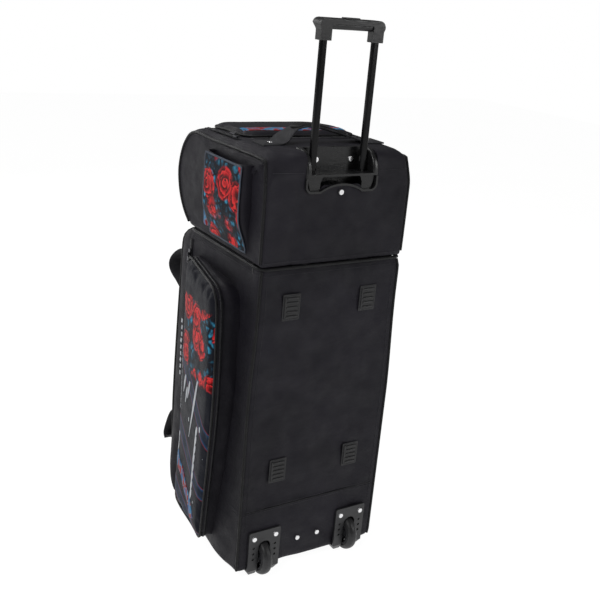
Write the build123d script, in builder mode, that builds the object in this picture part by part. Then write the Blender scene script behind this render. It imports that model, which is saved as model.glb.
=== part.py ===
"""Three-ball roller bag with a shoe compartment, in millimetres.

+Z is up, the front faces -Y, and +X is the bag's own left side. The origin is
on the ground under the middle of the bag's overall box. The pull handle is
drawn extended, and every lid, flap and zip is drawn closed.
"""
import os

from build123d import *

os.makedirs("parts", exist_ok=True)

# ---------------------------------------------------------------- main sizes
back_y = 180.0            # outer face of the back panel
front_y = -112.0          # front edges of the lower side panels
half_width = 158.0        # outer faces of the side panels
wall = 5.0                # foam-cored fabric panel
bottom_z = 18.0           # underside of the base
base_thick = 8.0
waist_z = 658.0           # seam between ball and shoe compartments
welt_height = 6.0
top_z = 867.0             # flat top of the shoe compartment
top_radius = 36.0         # rounded rear edge of the top
gap = 0.3                 # clearance between pieces that only pass each other

waist_low = waist_z - welt_height / 2
waist_high = waist_z + welt_height / 2
inner_x = half_width - wall
inner_back_y = back_y - wall
base_top = bottom_z + base_thick

# telescoping handle
tube_x = 54.4
tube_y = 160.0
tube_size = (13.0, 10.0)
tube_corner = 3.0
tube_wall = 1.2
sleeve_gap = 0.3
sleeve_wall = 1.7
tube_bottom = 560.0
sleeve_bottom = 62.0
bezel_half = 78.0
bezel_front_y = 138.0
bezel_back_y = 183.0
bezel_ledge_z = 828.0
bezel_floor_z = 822.0
lobe_bottom_z = 794.0
lobe_inner_x = 46.0
arch_z = 807.0            # middle of the bezel's lower edge
grip_bottom_z = 1056.0
grip_top_z = 1093.0
grip_half = 68.0

# wheels
wheel_x = 104.0
wheel_radius = 40.0
wheel_y = 168.0
wheel_width = 22.0
rim_radius = 29.0
bearing_radius = 11.0
axle_radius = 4.0
running_gap = 0.05
well_half = 18.0
slot_half = 13.5
well_front_y = 116.0
housing_half = 36.0
housing_top_z = 108.0
housing_bottom_z = 18.0
skid_front_y = 92.0
skid_depth = 13.0         # fairing round the wheel, below the base
rivet_offset = 24.7

# front door and side pockets
door_depth = 54.0
door_low = 24.0
door_high = 652.0
pocket_low = 52.0
pocket_high = 612.0
pocket_front_y = -82.0
pocket_rear_y = 126.0
pocket_front_x = 168.0
pocket_rear_x = 202.0
flap_thick = 6.0


# ---------------------------------------------------------------- helpers
def save(builder, name):
    """Label a finished piece and write it."""
    builder.part.label = name
    export_step(builder.part, f"parts/{name}.step")


def save_pair(builder, name):
    """Write a piece made on the +X side as the left one, and its mirror image as the right one."""
    save(builder, f"{name}_left")
    with BuildPart() as other:
        mirror(builder.part, about=Plane.YZ)
    save(other, f"{name}_right")


def box_between(x, y, z, mode=Mode.ADD):
    """A box between pairs of limits, in the part that is being built."""
    with Locations(((x[0] + x[1]) / 2, (y[0] + y[1]) / 2, (z[0] + z[1]) / 2)):
        Box(x[1] - x[0], y[1] - y[0], z[1] - z[0], mode=mode)


def back_plane(y):
    """The plane at this y that looks along -Y, with +X right and +Z up."""
    return Plane.XZ.offset(-y)


def rectangle_between(x, z, mode=Mode.ADD):
    """A rectangle in a sketch, between pairs of limits."""
    with Locations(((x[0] + x[1]) / 2, (z[0] + z[1]) / 2)):
        Rectangle(x[1] - x[0], z[1] - z[0], mode=mode)


# ---------------------------------------------------------------- rivets
rivet_radius = 2.5
rivet_hole = rivet_radius + 0.05
base_bolts = [(-24.0, 66.0), (24.0, 66.0)]
top_bolt = (0.0, 794.5)
housing_bolts = [
    (side * wheel_x + shift, 93.0)
    for side in (-1, 1)
    for shift in (-rivet_offset, rivet_offset)
]
bezel_bolts = [(-38.0, 848.0), (38.0, 848.0)]
strap_bolts = [(-106.0, 95.0), (106.0, 95.0)]
plate_back_y = back_y + 4.0
bezel_wall_y = bezel_front_y + 7.0
strap_thick = 3.6

with BuildPart() as rivets:
    for bolts, seat_y, length in (
        (base_bolts + [top_bolt], back_y, wall),
        (housing_bolts, plate_back_y, wall + 4.0),
        (bezel_bolts, bezel_wall_y, 7.0),
    ):
        with BuildSketch(back_plane(seat_y)):
            with Locations(bolts):
                Circle(rivet_radius)
        extrude(amount=length)
        with BuildSketch(back_plane(seat_y)):
            with Locations(bolts):
                Circle(5.6)
        extrude(amount=-2.2, taper=20)
    with BuildSketch(Plane.XY.offset(top_z + strap_thick)):
        with Locations(strap_bolts):
            Circle(rivet_radius)
    extrude(amount=-(wall + strap_thick))
    with BuildSketch(Plane.XY.offset(top_z + strap_thick)):
        with Locations(strap_bolts):
            Circle(5.0)
    extrude(amount=2.0, taper=20)
save(rivets, "rivets")

# ---------------------------------------------------------------- back panels
with BuildPart() as back_panel_lower:
    with BuildSketch(back_plane(back_y)) as outline:
        rectangle_between((-half_width, half_width), (bottom_z, waist_low))
        fillet(outline.vertices().group_by(Axis.Y)[0], radius=25)
        for side in (-1, 1):
            centre = side * wheel_x
            notch = (bottom_z - 5, 95)
            rectangle_between((centre - well_half - gap, centre + well_half + gap), notch, Mode.SUBTRACT)
        with Locations(base_bolts + housing_bolts):
            Circle(rivet_hole, mode=Mode.SUBTRACT)
    extrude(amount=wall)
save(back_panel_lower, "back_panel_lower")



def bezel_outline(grow, mode=Mode.ADD):
    """The bezel's flange seen from behind: two lobes with an arch between them, up to the ledge."""
    side_x = bezel_half + grow
    low_z = lobe_bottom_z - grow
    with BuildLine() as edge:
        Polyline(
            (-lobe_inner_x, low_z),
            (-side_x, low_z),
            (-side_x, bezel_ledge_z + 6),
            (side_x, bezel_ledge_z + 6),
            (side_x, low_z),
            (lobe_inner_x, low_z),
        )
        ThreePointArc((lobe_inner_x, low_z), (0, arch_z - grow), (-lobe_inner_x, low_z))
    make_face(edge.line.edges(), mode=mode)


with BuildPart() as back_panel_upper:
    with BuildSketch(back_plane(back_y)):
        rectangle_between((-half_width, half_width), (waist_high, top_z - top_radius))
        bezel_outline(gap, Mode.SUBTRACT)
        with Locations(top_bolt):
            Circle(rivet_hole, mode=Mode.SUBTRACT)
    extrude(amount=wall)
save(back_panel_upper, "back_panel_upper")

# rounded rear edge of the top, one piece each side of the bezel
with BuildPart() as top_gusset:
    with BuildSketch(Plane.YZ.offset(bezel_half + gap)):
        with BuildLine():
            centre = (back_y - top_radius, top_z - top_radius)
            outer = CenterArc(centre, top_radius, 0, 90)
            inner = CenterArc(centre, top_radius - wall, 0, 90)
            Line(outer @ 0, inner @ 0)
            Line(outer @ 1, inner @ 1)
        make_face()
    extrude(amount=half_width - bezel_half - gap)
save_pair(top_gusset, "top_gusset")

# ---------------------------------------------------------------- shoe compartment
front_outer = [(-112, 661), (-150, 682), (-182, 735), (-186, 785), (-168, 838), (-132, 867)]
front_inner = [(-112, 667), (-146, 688), (-176, 737), (-180, 783), (-163, 833), (-131, 861.8)]
front_fit = [(y + 0.4, z) for y, z in front_inner]

with BuildPart() as upper_front_panel:
    with BuildSketch(Plane.YZ):
        with BuildLine():
            Spline(*front_outer)
            Spline(*front_inner)
            Line(front_outer[0], front_inner[0])
            Line(front_outer[-1], front_inner[-1])
        make_face()
    extrude(amount=half_width, both=True)
save(upper_front_panel, "upper_front_panel")

with BuildPart() as upper_side_panel:
    with BuildSketch(Plane.YZ.offset(inner_x)):
        with BuildLine():
            panel_top = top_z - wall - 0.1
            corner = CenterArc((back_y - top_radius, top_z - top_radius), top_radius - wall - 0.1, 0, 90)
            Line(corner @ 1, (front_fit[-1][0], panel_top))
            Line((front_fit[-1][0], panel_top), front_fit[-1])
            Spline(*front_fit)
            Line(front_fit[0], (front_fit[0][0], waist_high))
            Line((front_fit[0][0], waist_high), (inner_back_y - 0.1, waist_high))
            Line((inner_back_y - 0.1, waist_high), corner @ 0)
        make_face()
    extrude(amount=wall)
save_pair(upper_side_panel, "upper_side_panel")

lid_half = 130.0
lid_thick = 10.0
lid_y = (-122.0, 38.0)
hatch_half = 126.0
hatch_y = (-118.0, 34.0)

with BuildPart() as top_panel:
    with BuildSketch(Plane.XY.offset(top_z - wall)):
        rectangle_between((-half_width, half_width), (front_outer[-1][0] + 3, back_y - top_radius))
        rectangle_between((-hatch_half, hatch_half), hatch_y, Mode.SUBTRACT)
        rectangle_between((-bezel_half - gap, bezel_half + gap), (bezel_front_y - gap, back_y), Mode.SUBTRACT)
        with Locations(strap_bolts):
            Circle(rivet_hole, mode=Mode.SUBTRACT)
    extrude(amount=wall)
save(top_panel, "top_panel")

with BuildPart() as top_lid:
    with BuildSketch(Plane.XY.offset(top_z + 0.4)):
        with Locations((0, (lid_y[0] + lid_y[1]) / 2)):
            RectangleRounded(2 * lid_half, lid_y[1] - lid_y[0], 22)
    extrude(amount=lid_thick)
    fillet(top_lid.faces().sort_by(Axis.Z)[-1].edges(), radius=8)
save(top_lid, "top_lid")

# ---------------------------------------------------------------- ball compartment
with BuildPart() as lower_side_panel:
    box_between((inner_x, half_width), (front_y, inner_back_y), (base_top, waist_low))
save_pair(lower_side_panel, "lower_side_panel")

with BuildPart() as base_panel:
    box_between((-half_width, half_width), (front_y, inner_back_y), (bottom_z, base_top))
    for side in (-1, 1):
        notch = (side * wheel_x - well_half - gap, side * wheel_x + well_half + gap)
        box_between(notch, (well_front_y - gap, back_y), (bottom_z, base_top), Mode.SUBTRACT)
save(base_panel, "base_panel")

board_y = (144.0, 147.0)
with BuildPart() as back_board:
    box_between((-inner_x, inner_x), board_y, (97, waist_low))
    box_between((-inner_x, inner_x), board_y, (waist_high, lobe_bottom_z - gap))
save(back_board, "back_board")

with BuildPart() as divider:
    box_between((-inner_x, inner_x), (front_y + wall, board_y[0] - gap), (waist_low, waist_high))
save(divider, "divider")

with BuildPart() as base_pad:
    box_between((-150, 150), (front_y + 7, well_front_y - 3), (base_top, base_top + 12))
    fillet(base_pad.edges().filter_by(Axis.Z), radius=20)
save(base_pad, "base_pad")

# ---------------------------------------------------------------- piping and patches
welt_proud = 3.5
with BuildPart() as waist_welt:
    with BuildSketch(Plane.XY.offset(waist_low)):
        middle_y = (back_y + front_y) / 2
        with Locations((0, middle_y)):
            RectangleRounded(2 * (half_width + welt_proud), back_y - front_y + 2 * welt_proud, 6)
        with Locations((0, middle_y)):
            Rectangle(2 * inner_x, back_y - front_y - 2 * wall, mode=Mode.SUBTRACT)
    extrude(amount=welt_height)
save(waist_welt, "waist_welt")

with BuildPart() as corner_piping:
    with BuildSketch(Plane.XY.offset(44)):
        with Locations((half_width - 2.5, back_y + 1.8)):
            RectangleRounded(5, 3.6, 1.5)
    extrude(amount=waist_low - 44)
    with BuildSketch(Plane.XY.offset(waist_high)):
        with Locations((half_width - 2.5, back_y + 1.8)):
            RectangleRounded(5, 3.6, 1.5)
    extrude(amount=top_z - top_radius - waist_high)
save_pair(corner_piping, "corner_piping")

patch_centres = [(-86, 239), (86, 239), (-86, 582), (86, 582)]
patch_size = (38.0, 52.0)
rib_pitch = 10.0
with BuildPart() as grip_patches:
    with BuildSketch(back_plane(back_y)):
        with Locations(patch_centres):
            RectangleRounded(*patch_size, 5)
    extrude(amount=-1.6)
    with BuildSketch(back_plane(back_y + 1.6)):
        with Locations(patch_centres):
            with GridLocations(rib_pitch, rib_pitch, 1, 4):
                RectangleRounded(27, 4.2, 1.8)
    extrude(amount=-1.8)
save(grip_patches, "grip_patches")

# ---------------------------------------------------------------- handle frame
sleeve_hole = (tube_size[0] + 2 * sleeve_gap, tube_size[1] + 2 * sleeve_gap)
with BuildPart() as handle_bezel:
    with BuildSketch(Plane.YZ):
        with BuildLine():
            rim = CenterArc((back_y - top_radius, top_z - top_radius), top_radius + 3, 0, 90)
            corner_top = (bezel_front_y, top_z + 3)
            corner_low = (bezel_front_y, bezel_floor_z)
            Line(rim @ 1, corner_top)
            Line(corner_top, corner_low)
            Line(corner_low, (bezel_back_y, bezel_floor_z))
            Line((bezel_back_y, bezel_floor_z), rim @ 0)
        make_face()
    extrude(amount=bezel_half, both=True)
    box_between((-66, 66), (bezel_wall_y, 200), (bezel_ledge_z, 900), Mode.SUBTRACT)
    rims = handle_bezel.edges().filter_by(GeomType.CIRCLE).filter_by(
        lambda edge: abs(edge.radius - top_radius - 3) < 0.01
    )
    fillet(rims, radius=4)
    with BuildSketch(back_plane(bezel_back_y)) as flange:
        bezel_outline(0)
        fillet(flange.vertices().group_by(Axis.Y)[0].sort_by(Axis.X)[0], radius=14)
        fillet(flange.vertices().group_by(Axis.Y)[0].sort_by(Axis.X)[-1], radius=14)
        rectangle_between((-bezel_half, bezel_half), (bezel_floor_z, bezel_ledge_z + 6), Mode.SUBTRACT)
    extrude(amount=bezel_back_y - bezel_front_y)
    with BuildSketch(back_plane(bezel_back_y)) as recess:
        with BuildLine():
            Polyline(
                (-lobe_inner_x, lobe_bottom_z + 4),
                (-bezel_half + 4, lobe_bottom_z + 4),
                (-bezel_half + 4, bezel_ledge_z - 4),
                (bezel_half - 4, bezel_ledge_z - 4),
                (bezel_half - 4, lobe_bottom_z + 4),
                (lobe_inner_x, lobe_bottom_z + 4),
            )
            ThreePointArc((lobe_inner_x, lobe_bottom_z + 4), (0, arch_z + 4), (-lobe_inner_x, lobe_bottom_z + 4))
        make_face()
        fillet(recess.vertices().group_by(Axis.Y)[0].sort_by(Axis.X)[0], radius=10)
        fillet(recess.vertices().group_by(Axis.Y)[0].sort_by(Axis.X)[-1], radius=10)
    extrude(amount=bezel_back_y - bezel_front_y - 14, mode=Mode.SUBTRACT)
    # tube sockets: blocks that narrow downwards
    with BuildSketch(back_plane(bezel_back_y - 5)):
        for side in (-1, 1):
            with BuildLine():
                Polyline(
                    (side * 40, bezel_ledge_z - 4),
                    (side * 73.5, bezel_ledge_z - 4),
                    (side * 65, lobe_bottom_z + 2),
                    (side * 45, lobe_bottom_z + 2),
                    (side * 45, 812),
                    close=True,
                )
            make_face()
    extrude(amount=bezel_back_y - bezel_front_y - 8)
    with BuildSketch(Plane.XY.offset(lobe_bottom_z)):
        with Locations((-tube_x, tube_y), (tube_x, tube_y)):
            RectangleRounded(*sleeve_hole, tube_corner)
    extrude(amount=60, mode=Mode.SUBTRACT)
    with BuildSketch(back_plane(bezel_wall_y)):
        with Locations(bezel_bolts):
            Circle(rivet_hole)
    extrude(amount=bezel_wall_y - bezel_front_y, mode=Mode.SUBTRACT)
save(handle_bezel, "handle_bezel")

with BuildPart() as outer_tube:
    with BuildSketch(Plane.XY.offset(sleeve_bottom)):
        with Locations((tube_x, tube_y)):
            RectangleRounded(sleeve_hole[0] + 2 * sleeve_wall, sleeve_hole[1] + 2 * sleeve_wall, tube_corner + 1)
            RectangleRounded(*sleeve_hole, tube_corner, mode=Mode.SUBTRACT)
    extrude(amount=lobe_bottom_z - sleeve_bottom)
save_pair(outer_tube, "outer_tube")

with BuildPart() as tube_bracket:
    box_between((-68, 68), (150, 170), (base_top, sleeve_bottom))
    box_between((-40, 40), (150, inner_back_y), (sleeve_bottom, 82))
save(tube_bracket, "tube_bracket")

with BuildPart() as inner_tube:
    with BuildSketch(Plane.XY.offset(tube_bottom)):
        with Locations((tube_x, tube_y)):
            RectangleRounded(*tube_size, tube_corner)
            RectangleRounded(tube_size[0] - 2 * tube_wall, tube_size[1] - 2 * tube_wall, 1.5, mode=Mode.SUBTRACT)
    extrude(amount=grip_bottom_z - tube_bottom)
save_pair(inner_tube, "inner_tube")

# grip: two sockets, a round bar between them and a top plate that overhangs the front
plate_low_z = 1083.0
bar_radius = 6.8
bar_z = 1081.0
beak_y = 142.0
grip_front_y = tube_y - 9
grip_back_y = tube_y + 9
button_half = (17.0, 6.0)
button_depth = 9.0
with BuildPart() as grip:
    with BuildSketch(Plane.YZ) as side_view:
        with BuildLine():
            Polyline(
                (grip_front_y, grip_bottom_z + 14),
                (grip_front_y, grip_bottom_z),
                (grip_back_y, grip_bottom_z),
                (grip_back_y, grip_top_z),
                (beak_y, grip_top_z),
                (beak_y, grip_top_z - 9),
            )
            RadiusArc((beak_y, grip_top_z - 9), (grip_front_y, grip_bottom_z + 14), 15)
        make_face()
        fillet(side_view.vertices().group_by(Axis.Y)[-1], radius=2.5)
    extrude(amount=grip_half, both=True)
    with BuildSketch(back_plane(grip_back_y)) as face:
        with BuildLine():
            Polyline(
                (43.4, grip_bottom_z),
                (65.4, grip_bottom_z),
                (65.4, grip_bottom_z + 18),
                (grip_half, grip_bottom_z + 24),
                (grip_half, grip_top_z),
                (-grip_half, grip_top_z),
                (-grip_half, grip_bottom_z + 24),
                (-65.4, grip_bottom_z + 18),
                (-65.4, grip_bottom_z),
                (-43.4, grip_bottom_z),
                (-43.4, plate_low_z),
                (43.4, plate_low_z),
                close=True,
            )
        make_face()
        fillet(face.vertices().group_by(Axis.Y)[-1], radius=12)
    extrude(amount=grip_back_y - beak_y, mode=Mode.INTERSECT)
    with BuildSketch(Plane.YZ):
        with Locations((tube_y, bar_z)):
            Circle(bar_radius)
    extrude(amount=44, both=True)
    with BuildSketch(Plane.XY.offset(grip_top_z - button_depth)):
        with Locations((0, tube_y - 2)):
            RectangleRounded(2 * button_half[0] + 0.8, 2 * button_half[1] + 0.8, 3.4)
    extrude(amount=button_depth, mode=Mode.SUBTRACT)
save(grip, "grip")

button_travel = 3.0
with BuildPart() as release_button:
    with BuildSketch(Plane.XY.offset(grip_top_z - button_depth + button_travel + 0.5)):
        with Locations((0, tube_y - 2)):
            RectangleRounded(2 * button_half[0], 2 * button_half[1], 3)
    extrude(amount=button_depth - button_travel + 1.5)
    fillet(release_button.faces().sort_by(Axis.Z)[-1].edges(), radius=1)
save(release_button, "release_button")

# ---------------------------------------------------------------- wheels
hub_plane = Plane.YZ.offset(wheel_x)
axis_at = (wheel_y, wheel_radius)
wheel_axis = Axis((wheel_x, wheel_y, wheel_radius), (1, 0, 0))


def ring_block(inner, outer, half, mode=Mode.ADD):
    """A ring about the wheel's axis, from one radius to the other, this far each side of the middle."""
    with BuildSketch(hub_plane) as ring:
        with Locations(axis_at):
            Circle(outer)
            if inner > 0:
                Circle(inner, mode=Mode.SUBTRACT)
    extrude(ring.sketch, amount=half, both=True, mode=mode)


with BuildPart() as tyre:
    with BuildSketch(Plane.XZ.offset(-wheel_y)):
        with Locations((wheel_x, wheel_radius + (rim_radius + wheel_radius) / 2)):
            Rectangle(wheel_width, wheel_radius - rim_radius)
    revolve(axis=wheel_axis, revolution_arc=360)
    outer_edges = tyre.edges().filter_by(GeomType.CIRCLE).filter_by(
        lambda edge: abs(edge.radius - wheel_radius) < 0.01
    )
    fillet(outer_edges, radius=9.5)
save_pair(tyre, "tyre")

bearing_thick = 7.0
hub_half = 10.0
spoke_holes = 6
with BuildPart() as wheel_hub:
    ring_block(6, 26, 3)
    ring_block(24.5, rim_radius, hub_half)
    ring_block(bearing_radius, 14.5, hub_half)
    with BuildSketch(hub_plane.offset(-5)):
        with Locations(axis_at):
            with PolarLocations(19.5, spoke_holes):
                Circle(3.8)
    extrude(amount=10, mode=Mode.SUBTRACT)
save_pair(wheel_hub, "wheel_hub")

with BuildPart() as wheel_bearings:
    for start in (-hub_half, hub_half - bearing_thick):
        with BuildSketch(hub_plane.offset(start)):
            with Locations(axis_at):
                Circle(bearing_radius)
                Circle(axle_radius + running_gap, mode=Mode.SUBTRACT)
        extrude(amount=bearing_thick)
save_pair(wheel_bearings, "wheel_bearings")

with BuildPart() as axle:
    ring_block(0, axle_radius, well_half)
    for start in (-well_half - 2.5, well_half):
        with BuildSketch(hub_plane.offset(start)):
            with Locations(axis_at):
                Circle(6.5)
        extrude(amount=2.5)
save_pair(axle, "axle")

slot_top_z = 83.0
with BuildPart() as wheel_housing:
    with BuildSketch(back_plane(plate_back_y)) as plate:
        rectangle_between((wheel_x - housing_half, wheel_x + housing_half), (housing_bottom_z, housing_top_z))
        fillet(plate.vertices().group_by(Axis.Y)[-1], radius=4)
        with Locations([bolt for bolt in housing_bolts if bolt[0] > 0]):
            Circle(rivet_hole, mode=Mode.SUBTRACT)
    extrude(amount=plate_back_y - back_y)
    box_between((wheel_x - well_half, wheel_x + well_half), (well_front_y, back_y), (bottom_z, 94.7))
    with BuildSketch(Plane.XY.offset(bottom_z)):
        rectangle_between((wheel_x - housing_half, wheel_x + housing_half), (skid_front_y, plate_back_y))
    extrude(amount=-skid_depth, taper=30)
    with BuildSketch(back_plane(200)) as slot:
        rectangle_between((wheel_x - slot_half, wheel_x + slot_half), (0, slot_top_z))
        fillet(slot.vertices().group_by(Axis.Y)[-1], radius=slot_half - 1)
    extrude(amount=200 - well_front_y - 3, mode=Mode.SUBTRACT)
    ring_block(0, axle_radius + running_gap, well_half + 2, Mode.SUBTRACT)
    with BuildSketch(back_plane(plate_back_y)):
        for shift in (-rivet_offset, rivet_offset):
            with Locations((wheel_x + shift, 58)):
                with GridLocations(10, 13, 1, 3):
                    Circle(2.8)
    extrude(amount=2, mode=Mode.SUBTRACT)
save_pair(wheel_housing, "wheel_housing")

with BuildPart() as front_foot:
    with BuildSketch(Plane.XY):
        with Locations((wheel_x, -75)):
            RectangleRounded(52, 40, 8)
    extrude(amount=bottom_z)
    fillet(front_foot.faces().sort_by(Axis.Z)[0].edges(), radius=5)
save_pair(front_foot, "front_foot")

# ---------------------------------------------------------------- carry strap
strap_y = 95.0
strap_width = 48.0
strap_end_x = 132.0
arch_half = 88.0
arch_top_z = 905.0
strap_low = top_z
strap_high = top_z + strap_thick
with BuildPart() as carry_strap:
    with BuildSketch(back_plane(strap_y + strap_width / 2)):
        with BuildLine():
            ThreePointArc((-arch_half, strap_high), (0, arch_top_z), (arch_half, strap_high))
            Line((arch_half, strap_high), (strap_end_x, strap_high))
            Line((strap_end_x, strap_high), (strap_end_x, strap_low))
            Line((strap_end_x, strap_low), (arch_half - 4, strap_low))
            ThreePointArc((arch_half - 4, strap_low), (0, arch_top_z - strap_thick), (4 - arch_half, strap_low))
            Line((4 - arch_half, strap_low), (-strap_end_x, strap_low))
            Line((-strap_end_x, strap_low), (-strap_end_x, strap_high))
            Line((-strap_end_x, strap_high), (-arch_half, strap_high))
        make_face()
    extrude(amount=strap_width)
    with BuildSketch(Plane.XY.offset(strap_low)):
        with Locations(strap_bolts):
            Circle(rivet_hole)
    extrude(amount=strap_thick, mode=Mode.SUBTRACT)
save(carry_strap, "carry_strap")

# ---------------------------------------------------------------- front door
door_half = 156.0
door_back_y = front_y - 0.4
door_front_y = front_y - door_depth
with BuildPart() as door_gusset:
    with BuildSketch(back_plane(door_back_y)):
        middle_z = (door_low + door_high) / 2
        with Locations((0, middle_z)):
            RectangleRounded(2 * door_half, door_high - door_low, 24)
            RectangleRounded(2 * door_half - 8, door_high - door_low - 8, 20, mode=Mode.SUBTRACT)
    extrude(amount=door_back_y - door_front_y - 8)
save(door_gusset, "door_gusset")

with BuildPart() as door_face:
    with BuildSketch(back_plane(door_front_y + 8)):
        with Locations((0, middle_z)):
            RectangleRounded(2 * door_half, door_high - door_low, 24)
    extrude(amount=8)
    fillet(door_face.faces().sort_by(Axis.Y)[0].edges(), radius=6)
save(door_face, "door_face")


loop_thick = 3.0
loop_peak_y = -212.4


def door_loop(name, root_high, peak, root_low):
    """A webbing loop that stands off the door face between two sewn ends."""
    with BuildPart() as loop:
        with BuildSketch(Plane.YZ.offset(106)):
            with BuildLine():
                FilletPolyline(
                    (door_front_y, root_high),
                    (loop_peak_y, peak),
                    (door_front_y, root_low),
                    radius=9,
                )
                Line((door_front_y, root_low), (door_front_y, root_high))
            make_face()
            with BuildLine():
                FilletPolyline(
                    (door_front_y, root_high - 1.2 * loop_thick),
                    (loop_peak_y + 2.2 * loop_thick, peak),
                    (door_front_y, root_low + 1.2 * loop_thick),
                    radius=6,
                )
                Line(
                    (door_front_y, root_low + 1.2 * loop_thick),
                    (door_front_y, root_high - 1.2 * loop_thick),
                )
            make_face(mode=Mode.SUBTRACT)
        extrude(amount=38)
    save(loop, name)


door_loop("door_loop_upper", 606, 588, 520)
door_loop("door_loop_lower", 222, 168, 146)

# ---------------------------------------------------------------- lower side pockets
pocket_points = [
    (pocket_front_y, pocket_low),
    (88, pocket_low),
    (pocket_rear_y, 390),
    (112, pocket_high - 12),
    (pocket_front_y, pocket_high),
]
pocket_radii = [14, 14, 120, 46, 20]


def pocket_outline(grow):
    """The side pocket's outline, larger or smaller by this much, in a sketch on a YZ plane."""
    with BuildLine() as edge:
        FilletPolyline(*pocket_points, radius=pocket_radii, close=True)
    make_face(edge.line.edges())
    if grow:
        offset(amount=grow, kind=Kind.INTERSECTION)


def wedge(low_gap, high_gap):
    """Keep what lies between two slanted planes, each this far out from the pocket's slanted front."""
    slope = (pocket_rear_x - pocket_front_x) / (pocket_rear_y - pocket_front_y)
    near_y = pocket_front_y - 10
    far_y = pocket_rear_y + 10
    near_x = pocket_front_x - 10 * slope
    far_x = pocket_rear_x + 10 * slope
    with BuildSketch(Plane.XY) as band:
        with BuildLine():
            Polyline(
                (near_x + low_gap, near_y),
                (far_x + low_gap, far_y),
                (far_x + high_gap, far_y),
                (near_x + high_gap, near_y),
                close=True,
            )
        make_face()
    extrude(band.sketch, amount=700, mode=Mode.INTERSECT)


with BuildPart() as side_gusset:
    with BuildSketch(Plane.YZ.offset(half_width)):
        pocket_outline(0)
    extrude(amount=70)
    with BuildSketch(Plane.YZ.offset(half_width)):
        pocket_outline(-4)
    extrude(amount=70, mode=Mode.SUBTRACT)
    wedge(-60, 0)
save_pair(side_gusset, "side_gusset")

with BuildPart() as side_flap:
    with BuildSketch(Plane.YZ.offset(half_width)):
        pocket_outline(2)
    extrude(amount=70)
    wedge(0.4, 0.4 + flap_thick)
save_pair(side_flap, "side_flap")

# ---------------------------------------------------------------- upper side pockets
with BuildPart() as upper_pocket:
    box_between((half_width, 178), (-10, 130), (672, 840))
    fillet(upper_pocket.edges().filter_by(Axis.X).group_by(Axis.Z)[0], radius=10)
    box_between((half_width, 173), (-6, 126), (677, 841), Mode.SUBTRACT)
save_pair(upper_pocket, "upper_pocket")

# ---------------------------------------------------------------- zip sliders and pull tabs
ear_at = -3.0
pin_height = 5.3
pin_radius = 1.25


def across(plane):
    """The plane through a slider's middle, with the run to its right and the outward side up."""
    return Plane(origin=plane.origin, x_dir=plane.y_dir, z_dir=plane.x_dir)


def zip_slider(plane, name):
    """A slider on a zip that runs along the plane's y, with an ear for its pull tab."""
    with BuildPart() as slider:
        with BuildSketch(plane):
            RectangleRounded(8, 14, 2.5)
        extrude(amount=3.2)
        with BuildSketch(plane.offset(3.2)):
            with Locations((0, ear_at)):
                Rectangle(2, 5)
        extrude(amount=4.2)
        with BuildSketch(across(plane)):
            with Locations((ear_at, pin_height)):
                Circle(pin_radius + running_gap)
        extrude(amount=4, both=True, mode=Mode.SUBTRACT)
    save(slider, name)


def pull_tab(plane, name):
    """The tab that hangs from a slider's ear: a pin, two arms and a plate."""
    with BuildPart() as tab:
        with BuildSketch(across(plane)):
            with Locations((ear_at, pin_height)):
                Circle(pin_radius)
        extrude(amount=2.8, both=True)
        with BuildSketch(plane.offset(4.05)):
            for side in (-1, 1):
                with Locations((side * 2.05, ear_at - 2.6)):
                    Rectangle(1.5, 7.8)
        extrude(amount=2.5)
        with BuildSketch(plane.offset(4.4)):
            with Locations((0, ear_at - 12.5)):
                RectangleRounded(6.4, 14, 2.4)
            with Locations((0, ear_at - 16)):
                Circle(1.8, mode=Mode.SUBTRACT)
        extrude(amount=1.8)
    save(tab, name)


pocket_zip = Plane(origin=(163.2, pocket_front_y - gap, 560), x_dir=(1, 0, 0), z_dir=(0, -1, 0))
right_zip = Plane(origin=(-163.2, pocket_front_y - gap, 560), x_dir=(1, 0, 0), z_dir=(0, -1, 0))
door_zip = Plane(origin=(half_width + gap, front_y + 6, 610), x_dir=(0, 1, 0), z_dir=(1, 0, 0))
lid_zip = Plane(origin=(lid_half + 6, 20, top_z + gap), x_dir=(1, 0, 0), z_dir=(0, 0, 1))
for plane, place in (
    (pocket_zip, "pocket_left"),
    (right_zip, "pocket_right"),
    (door_zip, "door"),
    (lid_zip, "lid"),
):
    zip_slider(plane, f"{place}_slider")
    pull_tab(plane, f"{place}_tab")
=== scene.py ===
import math

import bmesh
import bpy
from mathutils import Matrix, Vector, noise
from mathutils.bvhtree import BVHTree


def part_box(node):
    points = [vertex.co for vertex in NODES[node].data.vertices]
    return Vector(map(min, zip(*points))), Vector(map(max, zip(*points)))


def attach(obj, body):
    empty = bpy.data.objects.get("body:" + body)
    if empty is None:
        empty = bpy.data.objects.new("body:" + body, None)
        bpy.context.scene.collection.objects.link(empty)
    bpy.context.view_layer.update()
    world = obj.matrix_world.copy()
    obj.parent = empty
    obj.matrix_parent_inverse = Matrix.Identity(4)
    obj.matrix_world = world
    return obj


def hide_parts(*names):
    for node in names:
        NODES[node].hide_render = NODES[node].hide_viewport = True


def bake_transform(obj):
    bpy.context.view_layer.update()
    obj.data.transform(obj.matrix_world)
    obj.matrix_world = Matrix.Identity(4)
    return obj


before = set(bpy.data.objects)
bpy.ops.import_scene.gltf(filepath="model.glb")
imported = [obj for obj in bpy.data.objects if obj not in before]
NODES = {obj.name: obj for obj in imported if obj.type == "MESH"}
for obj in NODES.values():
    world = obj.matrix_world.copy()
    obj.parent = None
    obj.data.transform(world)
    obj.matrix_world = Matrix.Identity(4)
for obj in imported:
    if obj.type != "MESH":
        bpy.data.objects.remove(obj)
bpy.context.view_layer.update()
MM = 0.001
SIDES = (("left", 1), ("right", -1))


# shaping helpers (millimetres)


def smooth(t):
    t = min(1.0, max(0.0, t))
    return t * t * (3 - 2 * t)


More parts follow.
